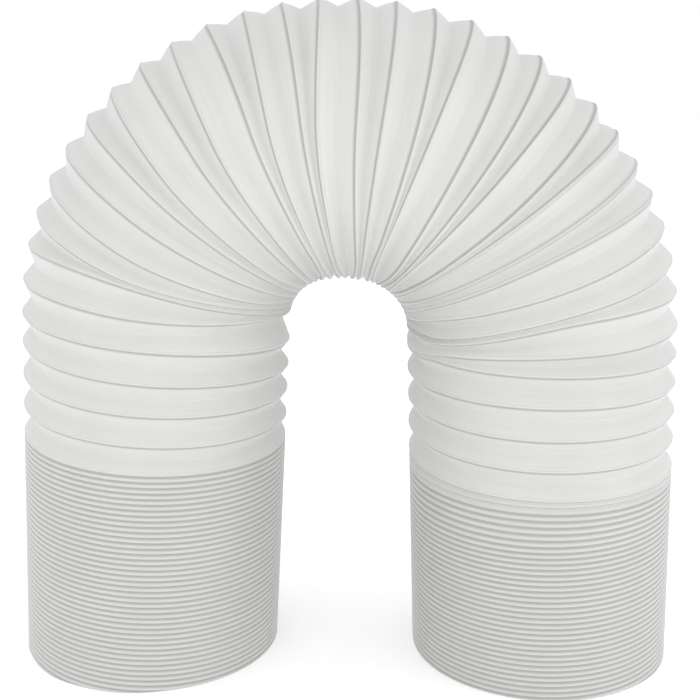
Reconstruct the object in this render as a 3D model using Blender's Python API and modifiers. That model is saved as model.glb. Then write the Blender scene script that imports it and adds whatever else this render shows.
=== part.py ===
"""Portable air conditioner exhaust hose: one pleated polypropylene duct, bent into an arch.

The strip it is wound from runs as a left-handed helix from one cut end to the other. Both ends
are pressed into short stacks whose turns lie one inside the next, and the turns between them
stand open. The hose stands on its two cut ends. X is across the arch, -Y is its front, Z is up.
"""

import math

import bmesh
import bpy
from mathutils import Vector

# The hose across, in metres: 156 mm over its pleats, for a 150 mm collar
CREST_RADIUS = 0.078
PLEAT_DEPTH = 0.0062
STRIP_WALL = 0.0118
WALL = 0.0008

# Along the hose, counted in turns of the helix. Turn 0 is the top of the left stack.
OPEN_TURNS = 37
PACKED_PITCH = 0.0033
LEFT_STACK = 0.1384
LEFT_PITCH = 0.0189
LEFT_RUN = (3.2, 4.2)
LEFT_SHOULDER_PITCH = 0.0115
CROWN_PITCH = 0.0135
CROWN_TURN = 18.0
CROWN_SPREAD = 4.8
RIGHT_SHOULDER_PITCH = 0.0112
RIGHT_RUN = (31.6, 32.4)
RIGHT_PITCH = 0.0170
START_ANGLE = math.radians(-15)

# The centreline: straight up, three bends with their turning angles, then straight down.
# The arch leans forward, so its feet stand a little behind the origin.
LEFT_FOOT = -0.12115
FOOT_BACK = 0.00545
LEFT_LEAN = math.radians(3.2)
LEFT_STRAIGHT = 0.2127
BENDS = (
    (0.1028, math.radians(74.3)),
    (0.1348, math.radians(27.8)),
    (0.1078, math.radians(73.0)),
)
FORWARD_LEAN = math.radians(2.0)

# The ridges of the stacks: outside, each stands for three folded turns. Inside, the stack is plain,
# so a few tall turns line it.
RIDGE_TURN = 0.0099
RIDGE_DEPTH = 0.0013
RIDGES = 15
LINING_TURN = 0.150
LINING_TURNS = 3

# How finely the round is made, and how tall a turn is on the post that the strip is wound on
SIDES = 30
POST_TURN = 0.150
SHARP = math.radians(30)


def smoothstep(start, end, value):
    """0 before start, 1 after end, with a soft rise between them."""
    share = min(1.0, max(0.0, (value - start) / (end - start)))
    return share * share * (3 - 2 * share)


def pitch_at(turn):
    """How far along the hose one open turn reaches: long beside the stacks, short in the bend."""
    shoulder = LEFT_SHOULDER_PITCH if turn < CROWN_TURN else RIGHT_SHOULDER_PITCH
    crown = math.exp(-(((turn - CROWN_TURN) / CROWN_SPREAD) ** 2))
    bend = shoulder + (CROWN_PITCH - shoulder) * crown
    pitch = bend + (LEFT_PITCH - bend) * (1 - smoothstep(*LEFT_RUN, turn))
    return pitch + (RIGHT_PITCH - pitch) * smoothstep(*RIGHT_RUN, turn)


def open_lengths():
    """The length along the hose at every step of the open turns."""
    lengths = [LEFT_STACK]
    for step in range(OPEN_TURNS * SIDES):
        lengths.append(lengths[-1] + pitch_at((step + 0.5) / SIDES) / SIDES)
    return lengths


LENGTHS = open_lengths()


def length_at(turn, stack_turn=RIDGE_TURN):
    """The length along the hose at a turn. One packed turn ends each stack, then longer ones."""
    beyond = max(-turn, turn - OPEN_TURNS)
    if beyond > 0:
        past = PACKED_PITCH * min(beyond, 1) + stack_turn * max(beyond - 1, 0)
        return LENGTHS[0] - past if turn < 0 else LENGTHS[-1] + past
    place = min(turn * SIDES, len(LENGTHS) - 1.001)
    step = int(place)
    return LENGTHS[step] + (LENGTHS[step + 1] - LENGTHS[step]) * (place - step)


def centreline(length):
    """The centreline at a length: its point and direction in the arch's plane, and its curvature."""
    angle = math.pi / 2 - LEFT_LEAN
    along = Vector((math.cos(angle), math.sin(angle)))
    point = Vector((LEFT_FOOT, 0)) + min(length, LEFT_STRAIGHT) * along
    length -= LEFT_STRAIGHT
    curvature = 0
    for radius, turning in BENDS:
        if length > 0:
            curvature = 1 / radius
        part = min(max(length / radius, 0), turning)
        point -= radius * Vector((-math.sin(angle), math.cos(angle)))
        angle -= part
        point += radius * Vector((-math.sin(angle), math.cos(angle)))
        length -= part * radius
    if length > 0:
        point += length * Vector((math.cos(angle), math.sin(angle)))
        curvature = 0
    return point, angle, curvature


def place(length, radius, around):
    """A point of the hose, from its length, its distance from the centreline and its angle round it."""
    point, angle, _ = centreline(length)
    outward = Vector((-math.sin(angle), math.cos(angle)))
    across = point + radius * math.cos(around) * outward
    forward = radius * math.sin(around)
    y = FOOT_BACK - across.y * math.sin(FORWARD_LEAN) - forward * math.cos(FORWARD_LEAN)
    z = across.y * math.cos(FORWARD_LEAN) - forward * math.sin(FORWARD_LEAN)
    return Vector((across.x, y, z))


def valley_depth(turn, around):
    """How deep the valley lies. Its two walls keep their length, so a long turn is a shallow one."""
    curvature = centreline(length_at(turn))[2]
    half = pitch_at(turn) * (1 + CREST_RADIUS * curvature * math.cos(around)) / 2
    return min(PLEAT_DEPTH, math.sqrt(max(STRIP_WALL**2 - half**2, 0)))


def opened(turn):
    """0 in the stacks, where the pleats lie folded, and 1 half a turn into the open hose."""
    return min(1.0, max(0.0, 2 * turn), max(0.0, 2 * (OPEN_TURNS - turn)))


def wound_pleats(stack_turns):
    """One straight pleat wound up a post, with this many turns for each stack."""
    mesh = bpy.data.meshes.new("one pleat")
    bm = bmesh.new()
    profile = []
    for half in (-0.5, 0, 0.5):
        profile.append(bm.verts.new((CREST_RADIUS, 0, (half - stack_turns) * POST_TURN)))
    for pair in zip(profile, profile[1:]):
        bm.edges.new(pair)
    bm.to_mesh(mesh)
    bm.free()
    winding = bpy.data.objects.new("winding", mesh)
    bpy.context.scene.collection.objects.link(winding)
    screw = winding.modifiers.new("wind", "SCREW")
    screw.axis = "Z"
    screw.angle = -2 * math.pi
    screw.screw_offset = POST_TURN
    screw.iterations = OPEN_TURNS + 2 * stack_turns
    screw.steps = SIDES
    screw.render_steps = SIDES
    graph = bpy.context.evaluated_depsgraph_get()
    wound = bpy.data.meshes.new_from_object(winding.evaluated_get(graph))
    bpy.data.objects.remove(winding)
    return wound


def add_skin(bm, inside):
    """One skin of the hose: every point of the wound pleats carried to its place in the arch."""
    other_skin = set(bm.verts)
    bm.from_mesh(wound_pleats(LINING_TURNS if inside else RIDGES))
    stack_turn = LINING_TURN if inside else RIDGE_TURN
    skin = [vert for vert in bm.verts if vert not in other_skin]
    bmesh.ops.remove_doubles(bm, verts=skin, dist=0.0005)
    for vert in [vert for vert in bm.verts if vert not in other_skin]:
        turn = vert.co.z / POST_TURN
        wound_angle = math.atan2(vert.co.y, vert.co.x)
        around = wound_angle + START_ANGLE
        in_valley = round(2 * (turn + wound_angle / (2 * math.pi))) % 2
        deep = valley_depth(turn, around)
        if inside:
            depth = WALL + (deep if in_valley else PLEAT_DEPTH)
            depth += opened(turn) * (0 if in_valley else -PLEAT_DEPTH)
        else:
            folded = RIDGE_DEPTH if abs(turn - OPEN_TURNS / 2) > OPEN_TURNS / 2 + 1 else 0
            depth = (folded + opened(turn) * (deep - folded)) if in_valley else 0
        vert.co = place(length_at(turn, stack_turn), CREST_RADIUS - depth, around)
    if inside:
        faces = {face for vert in bm.verts if vert not in other_skin for face in vert.link_faces}
        bmesh.ops.reverse_faces(bm, faces=list(faces))


def build_hose():
    bm = bmesh.new()
    add_skin(bm, inside=False)
    add_skin(bm, inside=True)
    # Both ends are cut flat where the hose stands, and the wall is closed there.
    everything = bm.verts[:] + bm.edges[:] + bm.faces[:]
    bmesh.ops.bisect_plane(
        bm, geom=everything, dist=0.00002, plane_co=(0, 0, 0), plane_no=(0, 0, 1), clear_inner=True
    )
    for side in (-1, 1):
        rim = [edge for edge in bm.edges if edge.is_boundary and edge.verts[0].co.x * side > 0]
        bmesh.ops.bridge_loops(bm, edges=rim)
    bmesh.ops.recalc_face_normals(bm, faces=bm.faces[:])
    mesh = bpy.data.meshes.new("hose")
    bm.to_mesh(mesh)
    bm.free()
    mesh.shade_smooth()
    mesh.set_sharp_from_angle(angle=SHARP)
    return mesh


def white_polypropylene():
    material = bpy.data.materials.new("white polypropylene")
    material.use_nodes = True
    shader = material.node_tree.nodes["Principled BSDF"]
    shader.inputs["Base Color"].default_value = (0.76, 0.76, 0.75, 1)
    shader.inputs["Roughness"].default_value = 0.45
    return material


def main():
    for obj in list(bpy.data.objects):
        bpy.data.objects.remove(obj)
    collection = bpy.data.collections.new("air conditioner exhaust hose")
    bpy.context.scene.collection.children.link(collection)
    hose = bpy.data.objects.new("hose", build_hose())
    hose.data.materials.append(white_polypropylene())
    collection.objects.link(hose)


main()
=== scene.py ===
# %% [markdown]
# # The exhaust hose of a portable air conditioner
# The real hose is one long strip of thin white polypropylene. The strip is extruded, folded
# into a pleat and wound on a mandrel, and each turn is welded to the next along its edge. That
# weld is the narrow bead that runs round every crest. Here the hose is drawn as the shop shows
# it: both ends pushed together into short stacks, the middle pulled open and bent into an arch.

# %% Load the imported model
import math

import bmesh
import bpy
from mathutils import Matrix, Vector


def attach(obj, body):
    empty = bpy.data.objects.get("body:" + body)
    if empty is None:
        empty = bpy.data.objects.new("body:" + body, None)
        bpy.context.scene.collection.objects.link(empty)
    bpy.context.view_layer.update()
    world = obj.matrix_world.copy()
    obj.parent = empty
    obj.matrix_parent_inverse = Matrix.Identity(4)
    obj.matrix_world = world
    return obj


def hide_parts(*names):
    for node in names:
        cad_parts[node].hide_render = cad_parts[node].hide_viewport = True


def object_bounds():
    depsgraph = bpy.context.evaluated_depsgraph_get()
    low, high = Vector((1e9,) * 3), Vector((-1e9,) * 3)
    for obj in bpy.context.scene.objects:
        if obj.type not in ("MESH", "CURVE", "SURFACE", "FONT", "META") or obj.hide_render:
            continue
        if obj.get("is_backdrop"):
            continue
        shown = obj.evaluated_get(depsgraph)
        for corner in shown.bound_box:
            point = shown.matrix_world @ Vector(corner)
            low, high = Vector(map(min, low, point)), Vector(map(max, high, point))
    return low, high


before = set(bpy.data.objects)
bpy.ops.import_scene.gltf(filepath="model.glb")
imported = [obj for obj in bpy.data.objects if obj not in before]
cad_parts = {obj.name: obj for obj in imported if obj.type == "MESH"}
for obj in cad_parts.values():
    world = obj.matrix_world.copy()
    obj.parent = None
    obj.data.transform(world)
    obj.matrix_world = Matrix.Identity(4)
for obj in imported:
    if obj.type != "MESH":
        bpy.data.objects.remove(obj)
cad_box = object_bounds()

print("nodes:", sorted(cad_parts))
print("CAD box, mm:", [[round(1000 * side, 1) for side in corner] for corner in cad_box])

# %% [markdown]
# ## The route of the hose
# A hose has one line that everything else hangs on: the line through the middle of its bore.
# It could be drawn as a curve object, but then the pleats could not know how tightly they are
# bent. So the line is a short formula instead: a straight leg, three bends of different radius,
# and a straight leg down again. The numbers are the same as in the solid model.

# %% The centreline
LEFT_FOOT = -0.12115
FOOT_BACK = 0.00545
LEFT_LEAN = math.radians(3.2)
LEFT_STRAIGHT = 0.2127
BENDS = (
    (0.1028, math.radians(74.3)),
    (0.1348, math.radians(27.8)),
    (0.1078, math.radians(73.0)),
)
FORWARD_LEAN = math.radians(2.0)


def smoothstep(start, end, value):
    """0 before start, 1 after end, with a soft rise between them."""
    share = min(1.0, max(0.0, (value - start) / (end - start)))
    return share * share * (3 - 2 * share)


def centreline(length):
    """The centreline at a length: its point and direction in the arch's plane, and its curvature."""
    angle = math.pi / 2 - LEFT_LEAN
    reach = min(length, LEFT_STRAIGHT)
    across = LEFT_FOOT + reach * math.cos(angle)
    height = reach * math.sin(angle)
    length -= LEFT_STRAIGHT
    curvature = 0
    for radius, turning in BENDS:
        if length > 0:
            curvature = 1 / radius
        part = min(max(length / radius, 0), turning)
        across += radius * (math.sin(angle) - math.sin(angle - part))
        height += radius * (math.cos(angle - part) - math.cos(angle))
        angle -= part
        length -= part * radius
    if length > 0:
        across += length * math.cos(angle)
        height += length * math.sin(angle)
        curvature = 0
    return across, height, angle, curvature


def place(length, radius, around):
    """A point of the hose, from its length, its distance from the centreline and its angle round it."""
    across, height, angle, _ = centreline(length)
    outward = radius * math.cos(around)
    across -= outward * math.sin(angle)
    height += outward * math.cos(angle)
    forward = radius * math.sin(around)
    y = FOOT_BACK - height * math.sin(FORWARD_LEAN) - forward * math.cos(FORWARD_LEAN)
    z = height * math.cos(FORWARD_LEAN) - forward * math.sin(FORWARD_LEAN)
    return Vector((across, y, z))


print("top of the centreline, mm:", [round(1000 * value, 1) for value in centreline(0.41)[:2]])

# %% [markdown]
# ## How far apart the turns are
# The strip is wound left-handed: seen from the front, each crest falls from left to right. In
# the stacks a turn takes 3.3 mm, the strip's folded height. In the legs it takes 17 to 19 mm,
# and in the bend a little less. The sum of all turns up to a place is its length along the hose,
# so the lengths are added up once, in small steps, and looked up after that.

# %% Turns and lengths
OPEN_TURNS = 37
PACKED_PITCH = 0.0033
LEFT_STACK = 0.1384
LEFT_PITCH = 0.0189
LEFT_RUN = (3.2, 4.2)
LEFT_SHOULDER_PITCH = 0.0115
CROWN_PITCH = 0.0135
CROWN_TURN = 18.0
CROWN_SPREAD = 4.8
RIGHT_SHOULDER_PITCH = 0.0112
RIGHT_RUN = (31.6, 32.4)
RIGHT_PITCH = 0.0170
START_ANGLE = math.radians(-15)
STEPS_A_TURN = 32


def pitch_at(turn):
    """How far along the hose one open turn reaches: long beside the stacks, short in the bend."""
    shoulder = LEFT_SHOULDER_PITCH if turn < CROWN_TURN else RIGHT_SHOULDER_PITCH
    crown = math.exp(-(((turn - CROWN_TURN) / CROWN_SPREAD) ** 2))
    bend = shoulder + (CROWN_PITCH - shoulder) * crown
    pitch = bend + (LEFT_PITCH - bend) * (1 - smoothstep(*LEFT_RUN, turn))
    return pitch + (RIGHT_PITCH - pitch) * smoothstep(*RIGHT_RUN, turn)


LENGTHS = [LEFT_STACK]
for step in range(OPEN_TURNS * STEPS_A_TURN):
    LENGTHS.append(LENGTHS[-1] + pitch_at((step + 0.5) / STEPS_A_TURN) / STEPS_A_TURN)


def length_at(turn):
    """The length along the hose at a turn. Turn 0 is the top of the left stack."""
    if turn < 0:
        return LENGTHS[0] + turn * PACKED_PITCH
    if turn > OPEN_TURNS:
        return LENGTHS[-1] + (turn - OPEN_TURNS) * PACKED_PITCH
    whole = min(turn * STEPS_A_TURN, len(LENGTHS) - 1.001)
    step = int(whole)
    return LENGTHS[step] + (LENGTHS[step + 1] - LENGTHS[step]) * (whole - step)


print("length of the open turns, mm:", round(1000 * (LENGTHS[-1] - LENGTHS[0]), 1))

# %% [markdown]
# ## Pleats that close two by two
# A pleat of this hose snaps: it is either open or folded flat. On the inside of the bend there
# is no room for open ones, so they close in turn, one here and its neighbour a little further
# on. Half-way round the front this shows as pairs of crests close together with wide pleats
# between them. Further in, all crests sweep up towards the crown, where the closed ones gather
# and lie evenly again. Chance could draw such pairs, but not where they lie on the real hose. So
# how far each crest lies from its even place was measured, at the front and once more near the
# inside.

# %% How far each crest lies from its even place
# In millimetres along the hose, from the first crest above the left stack to the last one. Crests 14 to
# 26 were read one by one. For the others a separate script followed the line of the crest, so these two
# lists are not a model to copy: better are a few values that are read by hand.
FRONT_ANGLE = math.radians(80)
FRONT_SHIFTS = (
    1.8, 0.5, -0.4, 0.1, 4.3, 8.5, 0.2, -0.6, 3.7, 6.6, 3.7, 8.6, 6.5,
    11.8, 6.7, 8.8, 2.1, 7.0, 5.0, 7.4, 1.0, 5.5, 4.5, 0.2, 4.0, -1.5,
    1.7, -1.2, 3.8, 4.7, -2.0, 2.8, -1.2, -0.8, 0.5, 1.1, 1.0,
)
INNER_ANGLE = math.radians(140)
INNER_SHIFTS = (
    3.6, 1.5, -1.2, -2.8, 11.8, 12.3, 8.0, 4.7, 12.0, 16.0, 11.9, 22.1, 20.7,
    29.4, 20.9, 19.4, 10.3, 17.1, 8.9, 6.7, -4.9, 8.1, 3.4, -6.1, 1.7, -7.2,
    -1.0, -2.3, 3.5, 16.3, 12.9, 9.8, -0.6, 0.2, 0.5, 0.9, 0.5,
)
# From the centreline to the top of the bead.
CREST_RADIUS = 0.078
print("crests read:", len(FRONT_SHIFTS))

# %% [markdown]
# ## From two readings to a whole crest
# A crest is one smooth line round the hose, so two readings of it are enough once it is known how
# such a line runs. Three movements add up. The crest tilts, most at the front and at the back. It
# pairs up with a neighbour until a little past the front. From the front on it sweeps towards the
# crown. The tilt is taken to be what a crest has in common with its near neighbours. What is left
# of the front reading is pairing, and what is then left of the inner one is sweep.

# %% Tilt, pairing and sweep
PAIRED_ANGLE = math.radians(105)
SWEEP_FROM = math.radians(75)
SWEEP_TO = math.radians(155)
NEIGHBOURS = 2


def mean_near(values, index, reach):
    """The mean of a value and the values that lie within reach of it."""
    near = values[max(0, index - reach) : index + reach + 1]
    return sum(near) / len(near)


def pair_share(away):
    """How much of its pairing a crest has at an angle from the outside: 1 at the front reading."""
    paired, read = (
        1 - math.cos(math.pi * min(angle / PAIRED_ANGLE, 1)) for angle in (away, FRONT_ANGLE)
    )
    return paired / read


def sweep_share(away):
    """How much of its sweep a crest has at an angle from the outside: 1 at the inner reading."""
    swept, read = (
        1 - math.cos(max(min(angle, SWEEP_TO) - SWEEP_FROM, 0)) for angle in (away, INNER_ANGLE)
    )
    return swept / read


def split_shifts():
    """Each crest's slow tilt, its pairing beyond that and its sweep, in metres."""
    shifts = []
    for crest, (front, inner) in enumerate(zip(FRONT_SHIFTS, INNER_SHIFTS)):
        tilt = mean_near(FRONT_SHIFTS, crest, NEIGHBOURS)
        pairing = front - tilt * math.sin(FRONT_ANGLE)
        sweep = inner - pairing * pair_share(INNER_ANGLE) - tilt * math.sin(INNER_ANGLE)
        shifts.append((tilt / 1000, pairing / 1000, sweep / 1000))
    return shifts


SHIFTS = split_shifts()
print("largest sweep, mm:", round(1000 * max(sweep for _, _, sweep in SHIFTS), 1))

# %% How tightly the hose is bent
CURVATURE_STEP = 0.002
CURVATURE_STEPS = 400
CURVATURE_REACH = 7


def soft_curvatures():
    """The curvature along the hose, with the sudden changes between the bends evened out."""
    sharp = [centreline(number * CURVATURE_STEP)[3] for number in range(CURVATURE_STEPS)]
    return [mean_near(sharp, number, CURVATURE_REACH) for number in range(CURVATURE_STEPS)]


CURVATURES = soft_curvatures()


def curvature_at(length):
    """How tightly the hose is bent near a length."""
    whole = min(max(length / CURVATURE_STEP, 0), len(CURVATURES) - 1.001)
    step = int(whole)
    return CURVATURES[step] + (CURVATURES[step + 1] - CURVATURES[step]) * (whole - step)


def stretch_at(length, around):
    """How much longer the bent hose is at this angle than along its centreline."""
    return 1 + CREST_RADIUS * curvature_at(length) * math.cos(around)


print("tightest bend, radius in mm:", round(1000 / max(CURVATURES), 1))

# %% [markdown]
# ## The places of all crests
# The strip is wound with 128 sides, so the crests' places are worked out once for each side. The
# readings alone would let some crests cross on the inside, where there is little room. So crests
# that come too near to each other are moved apart, each as little as can be. The folded turns of
# the right stack start close under the last open crest round the front, as in the real hose.

# %% Crests that keep apart
SIDES = 128
# Two crests can come no nearer to each other than this: their beads then touch.
NEAREST_CRESTS = 0.0019
print("nearest crests, mm:", 1000 * NEAREST_CRESTS)


def kept_apart(lengths, gaps):
    """The lengths in order, each at least its gap past the last, all moved as little as can be."""
    # With the gaps taken out, crests in the wrong order form a group at their mean place.
    groups = []
    taken = 0
    for length, gap in zip(lengths, gaps):
        taken += gap
        mean = length - taken
        count = 1
        while groups and groups[-1][0] > mean:
            last_mean, last_count = groups.pop()
            mean = (last_mean * last_count + mean * count) / (last_count + count)
            count += last_count
        groups.append((mean, count))
    means = [mean for mean, count in groups for _ in range(count)]
    apart = []
    taken = 0
    for mean, gap in zip(means, gaps):
        taken += gap
        apart.append(mean + taken)
    return apart


# %% Folded turns that close up
# The folded turns rise by up to this much at the inside, and the rise fades over so many turns.
CLOSED_RISE = 0.0044
CLOSED_TURNS = 8
# A crest's number changes a little past the outside of the bend, at this share of a turn.
CREST_START = 0.04


def turned_at(around):
    """The share of its turn that a crest still has to go at this angle."""
    return ((around - START_ANGLE) / (2 * math.pi) - CREST_START) % 1 + CREST_START


def closing(crest, turned):
    """How far a folded turn of the right stack has moved against the last open crest."""
    first_folded = OPEN_TURNS + 1
    if crest < first_folded - 0.5:
        return 0
    share = 1 - smoothstep(first_folded, first_folded + CLOSED_TURNS, crest)
    return -CLOSED_RISE * share * math.sin(math.pi * (turned - CREST_START))


print("largest rise, mm:", 1000 * CLOSED_RISE)

# %% All crests at all sides
FIRST_CREST = -2
LAST_CREST = OPEN_TURNS + 4
# Only these crests of the bend gather on the inside. The legs' crests lie evenly all round.
BEND_CRESTS = (5, 32)
EVEN_FROM = math.radians(135)
EVEN_TO = math.radians(170)


def shifts_round(around):
    """How far each open crest lies from its even place at this angle."""
    away = math.acos(math.cos(around))
    shifts = [
        tilt * math.sin(around) + pairing * pair_share(away) + sweep * sweep_share(away)
        for tilt, pairing, sweep in SHIFTS
    ]
    first, last = BEND_CRESTS
    gathering = shifts[first - 1 : last]
    share = smoothstep(EVEN_FROM, EVEN_TO, away)
    for number, shift in enumerate(gathering):
        shifts[first - 1 + number] = shift + (mean_near(gathering, number, NEIGHBOURS) - shift) * share
    return shifts


def crests_round(side):
    """The lengths of all crests at one of the sides that the hose is wound with."""
    around = START_ANGLE + 2 * math.pi * side / SIDES
    turned = turned_at(around)
    shifts = shifts_round(around)
    lengths = []
    for crest in range(FIRST_CREST, LAST_CREST + 1):
        length = length_at(crest - turned) + closing(crest, turned)
        if 1 <= crest <= len(shifts):
            length += shifts[crest - 1]
        lengths.append(length)
    gaps = [NEAREST_CRESTS / stretch_at(length, around) for length in lengths]
    return kept_apart(lengths, gaps)


CRESTS = [crests_round(side) for side in range(SIDES)]


def crest_length(turn, around):
    """The length along the hose of the crest that passes this angle at this turn."""
    side = round((around - START_ANGLE) / (2 * math.pi) * SIDES) % SIDES
    crest = math.floor(turn + CREST_START) + 1
    return CRESTS[side][crest - FIRST_CREST]


print("crests at each side:", len(CRESTS[0]))

# %% [markdown]
# ## The section of the strip
# Cut across, one turn of the strip is a V: a crest with its weld bead, a wall down to the valley
# and a wall up to the next crest. The walls keep their 11.8 mm, so a turn that is pulled long
# has a shallow valley. The bead is 1.7 mm wide and stands 0.6 mm above the walls. Its lower
# side is the thin dark line along every crest. The walls bulge a little. Each of the 16 rows
# below has its place in that section.

# %% One turn of the strip, row by row
ROWS = 16
PLEAT_DEPTH = 0.0062
STRIP_WALL = 0.0118
BULGE = 0.00035
# A valley is never deeper than this share of the turn's width.
DEEPEST_VALLEY = 0.46
# Half of the bead takes no more than this share of the width, and lies flat in narrower turns.
WIDEST_BEAD = 0.24
FULL_BEAD_WIDTH = 0.005
FULL_BULGE_WIDTH = 0.015
# Half of the bead, from its top down its side and out to the wall: how far past and how deep.
BEAD_ROWS = (
    (0.0, 0.0),
    (0.00040, 0.00004),
    (0.00068, 0.00020),
    (0.00086, 0.00060),
    (0.00120, 0.00070),
)
WALL_ROWS = (0.30, 0.62, 0.93)
VALLEY_SHARE = 0.47
# The valley is rounded: it is shallower by these shares at its bottom and just beside it.
SOFT_VALLEY = 0.10
SOFT_BESIDE_VALLEY = 0.03


def valley_depth(width):
    """How deep the valley of a turn of this width lies."""
    half = width / 2
    taut = math.sqrt(max(STRIP_WALL**2 - half**2, 0))
    return min(PLEAT_DEPTH, taut, DEEPEST_VALLEY * width)


def section(width, valley_share):
    """Every row of one turn as its distance past the crest and its depth below it."""
    depth = valley_depth(width)
    narrow = min(1, WIDEST_BEAD * width / BEAD_ROWS[-1][0])
    flat = smoothstep(0, FULL_BEAD_WIDTH, width)
    bulge = BULGE * smoothstep(FULL_BEAD_WIDTH, FULL_BULGE_WIDTH, width)
    bead = [(along * narrow, fall * flat) for along, fall in BEAD_ROWS]
    foot, foot_depth = bead[-1]
    rows = []
    for before_valley, run in ((True, valley_share * width), (False, (1 - valley_share) * width)):
        wall = []
        for share in WALL_ROWS:
            along = foot + (run - foot) * share
            fall = foot_depth + (depth - foot_depth) * share
            fall -= bulge * 4 * share * (1 - share)
            if share == WALL_ROWS[-1]:
                fall -= SOFT_BESIDE_VALLEY * depth
            wall.append((along, fall))
        if before_valley:
            rows += bead + wall + [(run, depth * (1 - SOFT_VALLEY))]
        else:
            rows += [(width - along, fall) for along, fall in reversed(bead[1:] + wall)]
    return rows


def flat_places(rows, width):
    """How far across the flat strip each row of a section lies, up to the next crest."""
    points = [*rows, (width, 0)]
    places = [0.0]
    for (past, depth), (next_past, next_depth) in zip(points, points[1:]):
        places.append(places[-1] + math.hypot(next_past - past, next_depth - depth))
    return places


FLAT_PLACES = flat_places(section(LEFT_PITCH, VALLEY_SHARE), LEFT_PITCH)
print("rows in a turn:", len(FLAT_PLACES) - 1)
print("width of the flat strip, mm:", round(1000 * FLAT_PLACES[-1], 1))

# %% [markdown]
# ## Winding the strip
# Blender's Screw modifier winds a profile like a real mandrel does. It can only wind a straight
# tube, so the strip is first wound on a tall straight post, with its rows evenly spaced so that
# no two of them touch. Then every point is carried to its place on the bent hose. The turn it
# is on and the angle it is at say which row of which crest it belongs to. The strip also keeps a
# map of itself laid flat, so that what the extruder left on it can follow it round the hose.

# %% The winding helper
TALL_TURN = 0.160
MERGE_DISTANCE = 0.0005


def wound_strip(first_turn, turns, rows, sides):
    """Whole turns of the strip, wound straight up a post as a bmesh."""
    mesh = bpy.data.meshes.new("strip")
    bm = bmesh.new()
    profile = [
        bm.verts.new((CREST_RADIUS, 0, (first_turn + row / rows) * TALL_TURN))
        for row in range(rows + 1)
    ]
    for pair in zip(profile, profile[1:]):
        bm.edges.new(pair)
    bm.to_mesh(mesh)
    bm.free()
    winding = bpy.data.objects.new("winding", mesh)
    bpy.context.scene.collection.objects.link(winding)
    screw = winding.modifiers.new("wind", "SCREW")
    screw.axis = "Z"
    screw.angle = -2 * math.pi
    screw.screw_offset = TALL_TURN
    screw.iterations = turns
    screw.steps = sides
    screw.render_steps = sides
    graph = bpy.context.evaluated_depsgraph_get()
    wound = bpy.data.meshes.new_from_object(winding.evaluated_get(graph))
    bpy.data.objects.remove(winding)
    bm = bmesh.new()
    bm.from_mesh(wound)
    bmesh.ops.remove_doubles(bm, verts=bm.verts[:], dist=MERGE_DISTANCE)
    return bm


def reading(vert, rows):
    """Which turn its crest is on, which row it is and the angle round the hose, of one point."""
    wound_angle = math.atan2(vert.co.y, vert.co.x)
    share = (vert.co.z / TALL_TURN + wound_angle / (2 * math.pi)) % 1
    row = round(share * rows) % rows
    return vert.co.z / TALL_TURN - row / rows, row, wound_angle + START_ANGLE


print("one turn on the post, mm:", 1000 * TALL_TURN)

# %% The strip's own map
GIRTH = 2 * math.pi * CREST_RADIUS


def lay_map(bm, rows, places):
    """A UV map in metres: u runs along the strip, and v across it from crest to crest."""
    uv = bm.loops.layers.uv.new("strip")
    spots = [reading(vert, rows)[:2] for vert in bm.verts]
    bm.verts.index_update()
    for face in bm.faces:
        corners = [spots[loop.vert.index] for loop in face.loops]
        at_the_end = max(row for _, row in corners) == rows - 1
        for loop, (turn, row) in zip(face.loops, corners):
            if at_the_end and row == 0:
                turn, row = turn - 1, rows
            loop[uv].uv = (turn * GIRTH, places[row])


print("once round the hose, mm:", round(1000 * GIRTH, 1))

# %% [markdown]
# ## The open turns
# Each point of the wound strip is carried to its place in the arch. The two sides of the bead
# meet its foot in a hard fold, so those rows are marked as creases, and so is every fold over 70
# degrees. The rest is shaded smooth. The hose is made in two halves to keep each piece light.

# %% The open hose
# The narrowest that a turn is drawn.
LEAST_REACH = 0.0008
SHARP_ROWS = (3, 4, ROWS - 4, ROWS - 3)
SHARP_FOLD = math.radians(70)


def bent_strip(first_turn, turns):
    """Open turns of the hose, each point carried to its place in the arch."""
    bm = wound_strip(first_turn, turns, ROWS, SIDES)
    lay_map(bm, ROWS, FLAT_PLACES)
    creases = []
    for edge in bm.edges:
        ends = [reading(vert, ROWS)[1] for vert in edge.verts]
        if ends[0] == ends[1] and ends[0] in SHARP_ROWS:
            creases.append(edge)
    for vert in bm.verts:
        turn, row, around = reading(vert, ROWS)
        start = crest_length(turn, around)
        reach = max(crest_length(turn + 1, around) - start, LEAST_REACH)
        stretch = stretch_at(start + reach / 2, around)
        width = reach * stretch
        past, depth = section(width, VALLEY_SHARE)[row]
        vert.co = place(start + past / stretch, CREST_RADIUS - depth, around)
    bm.normal_update()
    for edge in bm.edges:
        edge.smooth = edge.calc_face_angle(0) < SHARP_FOLD
    for edge in creases:
        edge.smooth = False
    return bm


def finished(bm, name):
    """The bmesh as an object, shaded smooth except at its creases."""
    bmesh.ops.recalc_face_normals(bm, faces=bm.faces[:])
    for face in bm.faces:
        face.smooth = True
    mesh = bpy.data.meshes.new(name)
    bm.to_mesh(mesh)
    bm.free()
    piece = bpy.data.objects.new(name, mesh)
    bpy.context.scene.collection.objects.link(piece)
    print(name, "faces:", len(mesh.polygons))
    return piece


SPLIT_TURN = 18
arch_left = finished(bent_strip(-1, SPLIT_TURN + 1), "arch_left")
arch_right = finished(bent_strip(SPLIT_TURN, OPEN_TURNS + 1 - SPLIT_TURN), "arch_right")

# %% [markdown]
# ## The wall
# Real film is about 0.35 mm thick. Here it is 0.8 mm, as in the solid model. Solidify gives both
# halves of the arch that wall, inwards, so the outer size stays the same and the inside can be
# looked into.

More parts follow.
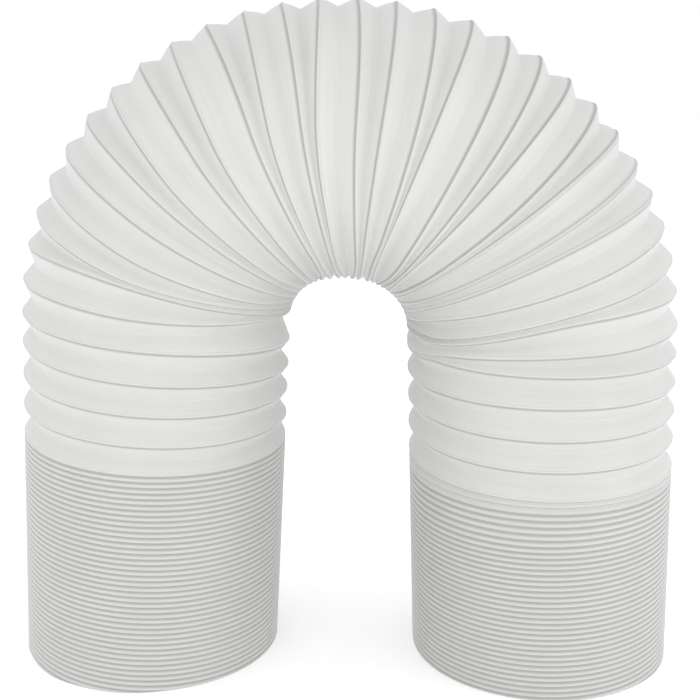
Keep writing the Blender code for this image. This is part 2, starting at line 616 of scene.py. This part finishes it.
# %% Wall thickness
WALL = 0.0008
for half in (arch_left, arch_right):
    wall = half.modifiers.new("wall", "SOLIDIFY")
    wall.thickness = WALL
    wall.offset = -1
print("wall, mm:", 1000 * WALL)

# %% [markdown]
# ## The stacks
# At both ends the pleats are folded flat and nested, so only their folded edges show: a rounded
# ridge every 3.3 mm with a groove under it. The walls inside the fold can't be seen, so the stack
# is one thick ring with ridges on both faces, cut flat where it stands on the floor.

# %% The folded turns
# How far past the ridge each row lies, as a share of the turn, and how deep.
STACK_ROWS = (
    (0.0, 0.0),
    (0.17, 0.00008),
    (0.29, 0.00040),
    (0.42, 0.00080),
    (0.56, 0.00086),
    (0.70, 0.00048),
    (0.83, 0.00010),
)
# Where each row lies across the strip's map: the ridge lies where there is no painted shade, and the
# groove lies in the painted shade at the bead's foot, so the groove is darkened by painted shade. On
# the left it is measured back from the next bead, since there the painted shade lies before the crest.
STACK_PLACES = (0.0027, 0.0026, 0.0022, 0.0015, 0.0014, 0.0019, 0.0025, 0.0027)
STACK_WALL = 0.0070
LINING_RIDGE = 0.0008
CUT_DISTANCE = 0.00002
# Open edges above this height belong to the stack's top, and the others to its foot.
FOOT_HEIGHT = 0.01


def folded_length(turn, around):
    """The length along the hose of a folded turn at this angle."""
    turned = turned_at(around)
    return length_at(turn) + closing(turn + turned, turned)


def stack(name, first_turn, turns):
    """One stack: a grooved outside, a ridged inside, a flat foot and a closed top."""
    bm = wound_strip(first_turn, turns, len(STACK_ROWS), SIDES)
    places = STACK_PLACES
    if first_turn < 0:
        places = [FLAT_PLACES[-1] - spot for spot in STACK_PLACES]
    lay_map(bm, len(STACK_ROWS), places)
    for vert in bm.verts:
        turn, row, around = reading(vert, len(STACK_ROWS))
        past, depth = STACK_ROWS[row]
        vert.co = place(folded_length(turn + past, around), CREST_RADIUS - depth, around)
    lining = wound_strip(first_turn, turns, 2, SIDES)
    for vert in lining.verts:
        turn, row, around = reading(vert, 2)
        radius = CREST_RADIUS - STACK_WALL - (0 if row else LINING_RIDGE)
        vert.co = place(folded_length(turn + row / 2, around), radius, around)
    bmesh.ops.reverse_faces(lining, faces=lining.faces[:])
    lining_mesh = bpy.data.meshes.new("lining")
    lining.to_mesh(lining_mesh)
    lining.free()
    bm.from_mesh(lining_mesh)
    everything = bm.verts[:] + bm.edges[:] + bm.faces[:]
    bmesh.ops.bisect_plane(
        bm,
        geom=everything,
        dist=CUT_DISTANCE,
        plane_co=(0, 0, 0),
        plane_no=(0, 0, 1),
        clear_inner=True,
    )
    for top in (False, True):
        rim = [
            edge
            for edge in bm.edges
            if edge.is_boundary and (edge.verts[0].co.z > FOOT_HEIGHT) == top
        ]
        bmesh.ops.bridge_loops(bm, edges=rim)
    return finished(bm, name)


LEFT_TURNS = 43
RIGHT_TURNS = 40
left_stack = stack("left_stack", -1 - LEFT_TURNS, LEFT_TURNS)
right_stack = stack("right_stack", OPEN_TURNS + 1, RIGHT_TURNS)
PIECES = (arch_left, arch_right, left_stack, right_stack)

# %% [markdown]
# ## White polypropylene
# Polypropylene is a waxy plastic: white, with a soft sheen and a little light passing through.
# The strip comes out of an extruder, so faint streaks run along it, and its thickness wanders, which
# shows as pale and dull clouds. The bead is drawn greyer, most of all on its lower side, and that grey
# is painted shade: there the bead shades its own foot, too finely for the lamps to draw, so that shade
# is painted into the colour here. The streaks and this painted shade read the strip's own map, so they
# wind round the hose with it. A picture laid on the hose could do this too, but it would blur in a
# close view.

# %% A small helper for nodes and colours
def linear(hexed):
    """An sRGB hex colour as the linear values that the shader wants."""
    values = [int(hexed[start : start + 2], 16) / 255 for start in (1, 3, 5)]
    return [v / 12.92 if v <= 0.04045 else ((v + 0.055) / 1.055) ** 2.4 for v in values] + [1]


def add_node(material, kind, settings=(), links=()):
    """Adds a node, sets its properties and inputs, and links its inputs."""
    node = material.node_tree.nodes.new(kind)
    for name, value in dict(settings).items():
        if isinstance(name, int) or name in node.inputs:
            node.inputs[name].default_value = value
        else:
            setattr(node, name, value)
    for name, socket in dict(links).items():
        material.node_tree.links.new(socket, node.inputs[name])
    return node


# %% Extruded white polypropylene
# Polypropylene film, drawn from a slot die and wound while warm. It gives the eye a milky white
# with a satin sheen, fine streaks along the strip and soft clouds where the film is thicker.
polypropylene = bpy.data.materials.new("extruded white polypropylene")
polypropylene.use_nodes = True
shader = polypropylene.node_tree.nodes["Principled BSDF"]
shader.inputs["IOR"].default_value = 1.49
shader.inputs["Subsurface Weight"].default_value = 0.12
shader.inputs["Subsurface Radius"].default_value = (1.0, 1.0, 0.95)
shader.inputs["Subsurface Scale"].default_value = 0.0012
print("material:", polypropylene.name)

# %% Its streaks, clouds and grain
# A streak of the die is 0.3 mm wide. Drawn so fine it would not show, so it is 1.1 mm here.
# The clouds are about as wide as they look on the real hose. The size of the grain is a guess.
STREAK_LENGTH = 0.140
STREAK_WIDTH = 0.0011
CLOUD_SIZE = 0.035
GRAIN_SIZE = 0.0007
strip_map = add_node(polypropylene, "ShaderNodeUVMap", {"uv_map": "strip"})
streak_map = add_node(
    polypropylene,
    "ShaderNodeMapping",
    {"Scale": (1 / STREAK_LENGTH, 1 / STREAK_WIDTH, 1)},
    {"Vector": strip_map.outputs["UV"]},
)
streaks = add_node(
    polypropylene,
    "ShaderNodeTexNoise",
    {"Scale": 1.0, "Detail": 2.0, "Roughness": 0.6},
    {"Vector": streak_map.outputs["Vector"]},
)
on_hose = add_node(polypropylene, "ShaderNodeTexCoord")
clouds = add_node(
    polypropylene,
    "ShaderNodeTexNoise",
    {"Scale": 1 / CLOUD_SIZE, "Detail": 3.0, "Roughness": 0.55},
    {"Vector": on_hose.outputs["Object"]},
)
grain = add_node(
    polypropylene,
    "ShaderNodeTexNoise",
    {"Scale": 1 / GRAIN_SIZE, "Detail": 1.0},
    {"Vector": on_hose.outputs["Object"]},
)
print("streaks, mm:", 1000 * STREAK_LENGTH, "by", 1000 * STREAK_WIDTH)

# %% The painted shade of the bead
# This grey is painted shade. The bead's top is painted into shade by nearly a half, its side and its
# foot get the darkest painted shade, and the walls get none. Both pairs say between which distances
# from the bead's middle this changes.
TOP_PAINTED_SHADE = 0.45
BEAD_TOP = (0.00030, 0.00060)
BEAD_FOOT = (0.00130, 0.00320)
# The painted shade changes sides between these turns, where the hose starts on its way down, so that it
# stays on the bead's lower side.
WAY_DOWN = (24, 28)
across_strip = add_node(
    polypropylene, "ShaderNodeSeparateXYZ", links={"Vector": strip_map.outputs["UV"]}
)
to_next_bead = add_node(
    polypropylene,
    "ShaderNodeMath",
    {"operation": "SUBTRACT", 0: FLAT_PLACES[-1]},
    {1: across_strip.outputs["Y"]},
)


def painted_bead_shade(distance):
    """The share of painted shade at a distance from the bead's middle, on the bead's shaded side."""
    side = add_node(
        polypropylene,
        "ShaderNodeMapRange",
        {
            "From Min": BEAD_TOP[0],
            "From Max": BEAD_TOP[1],
            "To Min": TOP_PAINTED_SHADE,
            "interpolation_type": "SMOOTHSTEP",
        },
        {"Value": distance},
    )
    foot = add_node(
        polypropylene,
        "ShaderNodeMapRange",
        {
            "From Min": BEAD_FOOT[0],
            "From Max": BEAD_FOOT[1],
            "To Min": 1.0,
            "To Max": 0.0,
            "interpolation_type": "SMOOTHSTEP",
        },
        {"Value": distance},
    )
    both = add_node(
        polypropylene,
        "ShaderNodeMath",
        {"operation": "MULTIPLY"},
        {0: side.outputs["Result"], 1: foot.outputs["Result"]},
    )
    return both.outputs["Value"]


# The painted shade lies on the bead's lower side, which faces away from the light. That is before the
# crest on the way up the left leg and over the crown, and past it on the way down the right leg.
way_down = add_node(
    polypropylene,
    "ShaderNodeMapRange",
    {"From Min": WAY_DOWN[0] * GIRTH, "From Max": WAY_DOWN[1] * GIRTH},
    {"Value": across_strip.outputs["X"]},
)
painted_shade_share = add_node(
    polypropylene,
    "ShaderNodeMix",
    {"data_type": "FLOAT"},
    {
        "Factor": way_down.outputs["Result"],
        2: painted_bead_shade(to_next_bead.outputs["Value"]),
        3: painted_bead_shade(across_strip.outputs["Y"]),
    },
)
# This is how far from the bead's middle the painted shade reaches.
print("grey of the bead ends at, mm:", 1000 * BEAD_FOOT[1])

# %% Its colour
# Inputs 6 and 7 of a Mix node are its two colours, and output 2 is the mixed one.
WHITE = "#D6D6D5"
CLOUD_WHITE = "#CECECD"
STREAK_WHITE = "#DEDEDD"
# The colour of the painted shade on and under the bead.
PAINTED_SHADE_GREY = "#ACACAA"
# Streaks show where their noise is over the first value, and reach this share at the second.
STREAKS_SHOW = (0.45, 0.75)
STREAK_SHARE = 0.4
clouded = add_node(
    polypropylene,
    "ShaderNodeMix",
    {"data_type": "RGBA", 6: linear(WHITE), 7: linear(CLOUD_WHITE)},
    {"Factor": clouds.outputs["Fac"]},
)
streaked_share = add_node(
    polypropylene,
    "ShaderNodeMapRange",
    {"From Min": STREAKS_SHOW[0], "From Max": STREAKS_SHOW[1], "To Max": STREAK_SHARE},
    {"Value": streaks.outputs["Fac"]},
)
streaked = add_node(
    polypropylene,
    "ShaderNodeMix",
    {"data_type": "RGBA", 7: linear(STREAK_WHITE)},
    {"Factor": streaked_share.outputs["Result"], 6: clouded.outputs[2]},
)
# This last mix lays the painted shade of the bead over the white.
coloured = add_node(
    polypropylene,
    "ShaderNodeMix",
    {"data_type": "RGBA", 7: linear(PAINTED_SHADE_GREY)},
    {"Factor": painted_shade_share.outputs[0], 6: streaked.outputs[2]},
)
polypropylene.node_tree.links.new(coloured.outputs[2], shader.inputs["Base Color"])
print("whites and grey:", WHITE, CLOUD_WHITE, STREAK_WHITE, PAINTED_SHADE_GREY)

# %% Its sheen and its surface
# Drawn polypropylene is a little rougher along its streaks, which stand up by some hundredths of
# a millimetre, as the grain does.
ROUGHNESS = (0.40, 0.50)
RELIEF_HEIGHT = 0.00003
satin = add_node(
    polypropylene,
    "ShaderNodeMapRange",
    {"From Min": 0.3, "From Max": 0.7, "To Min": ROUGHNESS[0], "To Max": ROUGHNESS[1]},
    {"Value": streaks.outputs["Fac"]},
)
polypropylene.node_tree.links.new(satin.outputs["Result"], shader.inputs["Roughness"])
fine_relief = add_node(
    polypropylene,
    "ShaderNodeBump",
    {"Strength": 0.5, "Distance": RELIEF_HEIGHT},
    {"Height": streaks.outputs["Fac"]},
)
relief = add_node(
    polypropylene,
    "ShaderNodeBump",
    {"Strength": 0.4, "Distance": RELIEF_HEIGHT},
    {"Height": grain.outputs["Fac"], "Normal": fine_relief.outputs["Normal"]},
)
polypropylene.node_tree.links.new(relief.outputs["Normal"], shader.inputs["Normal"])
for piece in PIECES:
    piece.data.materials.append(polypropylene)
print("roughness:", ROUGHNESS)

# %% [markdown]
# ## Joining the pieces to the model
# The hose has no joint, so all its pieces ride on the one body and stand for the one solid.

# %% Riding and replacing
for piece in PIECES:
    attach(piece, "root")
    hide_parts("hose")
print("pieces:", [piece.name for piece in PIECES])

# %% [markdown]
# ## Floor, light and camera
# The hose stands in a white studio, on a table top that glows a little, as photographers use it
# to lighten the shadow under an object. White walls all round give most of the light, and two
# soft lamps at the left and right draw the pleats with gentle greys. The camera stands in front
# and looks down a little, as a person standing before a low table would.

# %% The floor
FLOOR_GLOW = 0.22
floor_mesh = bpy.data.meshes.new("floor")
bm = bmesh.new()
bmesh.ops.create_grid(bm, x_segments=1, y_segments=1, size=6)
bm.to_mesh(floor_mesh)
bm.free()
floor = bpy.data.objects.new("floor", floor_mesh)
bpy.context.scene.collection.objects.link(floor)
floor_paint = bpy.data.materials.new("matt white floor")
floor_paint.use_nodes = True
paint = floor_paint.node_tree.nodes["Principled BSDF"]
paint.inputs["Base Color"].default_value = linear("#FDFDFD")
paint.inputs["Roughness"].default_value = 0.9
paint.inputs["Emission Color"].default_value = linear("#FFFFFF")
paint.inputs["Emission Strength"].default_value = FLOOR_GLOW
floor.data.materials.append(floor_paint)
floor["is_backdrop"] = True
print("floor:", floor.name)

# %% The lights
def soft_light(name, spot, size, power, target=(0, 0, 0.2)):
    """A square area light at a place, turned to the hose."""
    lamp = bpy.data.lights.new(name, "AREA")
    lamp.shape = "SQUARE"
    lamp.size = size
    lamp.energy = power
    light = bpy.data.objects.new(name, lamp)
    light.location = spot
    light.rotation_euler = (Vector(target) - Vector(spot)).to_track_quat("-Z", "Y").to_euler()
    bpy.context.scene.collection.objects.link(light)


soft_light("left light", spot=(-0.7, -1.2, 0.4), size=0.8, power=1.7)
soft_light("right light", spot=(1.4, -0.9, 0.4), size=0.9, power=3.6)

world = bpy.data.worlds.new("studio")
world.use_nodes = True
world.node_tree.nodes["Background"].inputs["Color"].default_value = linear("#FFFFFF")
world.node_tree.nodes["Background"].inputs["Strength"].default_value = 1.0
bpy.context.scene.world = world
bpy.context.scene.view_settings.view_transform = "Standard"
print("lights:", [light.name for light in bpy.data.lights])

# %% The camera
# Its lens and place were fitted to the folds of both stacks in the photo.
camera_data = bpy.data.cameras.new("camera")
camera_data.lens = 61.6
camera_data.sensor_width = 36
camera = bpy.data.objects.new("camera", camera_data)
camera.location = (0.0300, -0.6914, 0.3535)
camera.rotation_euler = (math.radians(76.46), 0, math.radians(2.173))
bpy.context.scene.collection.objects.link(camera)
bpy.context.scene.camera = camera
print("camera lens, mm:", round(camera_data.lens, 1))

# %% [markdown]
# ## Sizes
# The drawn hose is meant to fill the solid model's box, give or take a millimetre, so both boxes are
# printed.

# %% Print the sizes and finish
boxes = {
    "cad": [list(corner) for corner in cad_box],
    "visual": [list(corner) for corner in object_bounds()],
}
for name, box in boxes.items():
    print(name, "mm:", [[round(1000 * side, 1) for side in corner] for corner in box])
